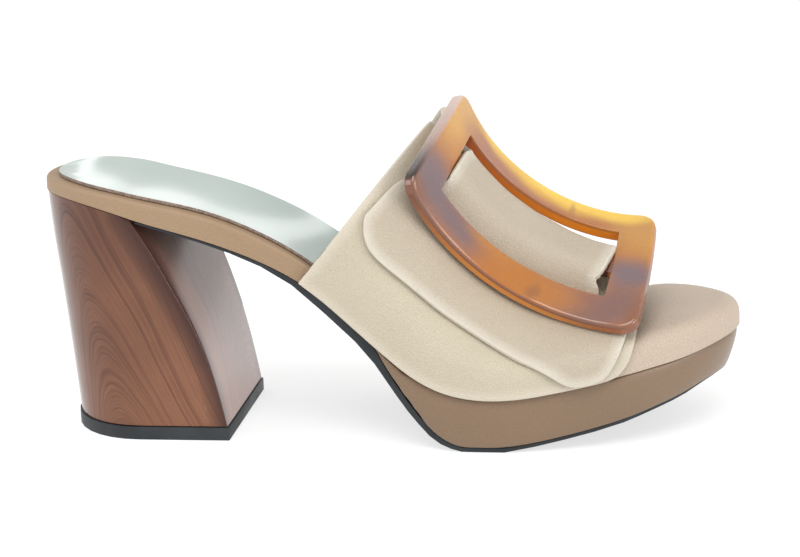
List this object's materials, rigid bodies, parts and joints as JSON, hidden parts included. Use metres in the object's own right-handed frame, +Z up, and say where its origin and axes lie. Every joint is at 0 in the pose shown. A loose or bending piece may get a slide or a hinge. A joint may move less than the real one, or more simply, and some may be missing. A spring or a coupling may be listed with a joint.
{
  "type": "mule shoe",
  "caption": "Open-toe platform mule with a tall block heel and a wide vamp carrying a large bent frame buckle on an overlay strap.",
  "frame": {"origin": "centre of the heel's floor face", "axes": "+X from the heel to the toe, +Y to the inner side of the foot, +Z up"},
  "size_m": [0.224, 0.0852, 0.1048],
  "materials": {
    "rubber": "matte charcoal rubber",
    "heel_wood": "dark brown wood grain under gloss lacquer",
    "platform_leather": "smooth brown leather wrap",
    "footbed_leather": "smooth tan leather wrap",
    "sock_lining": "pale sage lining with a satin sheen",
    "vamp_leather": "fine-grained cream leather",
    "strap_leather": "fine-grained cream leather",
    "buckle_resin": "polished tortoiseshell resin"
  },
  "bodies": {
    "root": {"top_piece": "rubber", "heel": "heel_wood", "outsole": "rubber", "platform": "platform_leather", "footbed": "footbed_leather", "sock": "sock_lining", "vamp": "vamp_leather", "strap": "strap_leather", "buckle": "buckle_resin"}
  },
  "joints": []
}
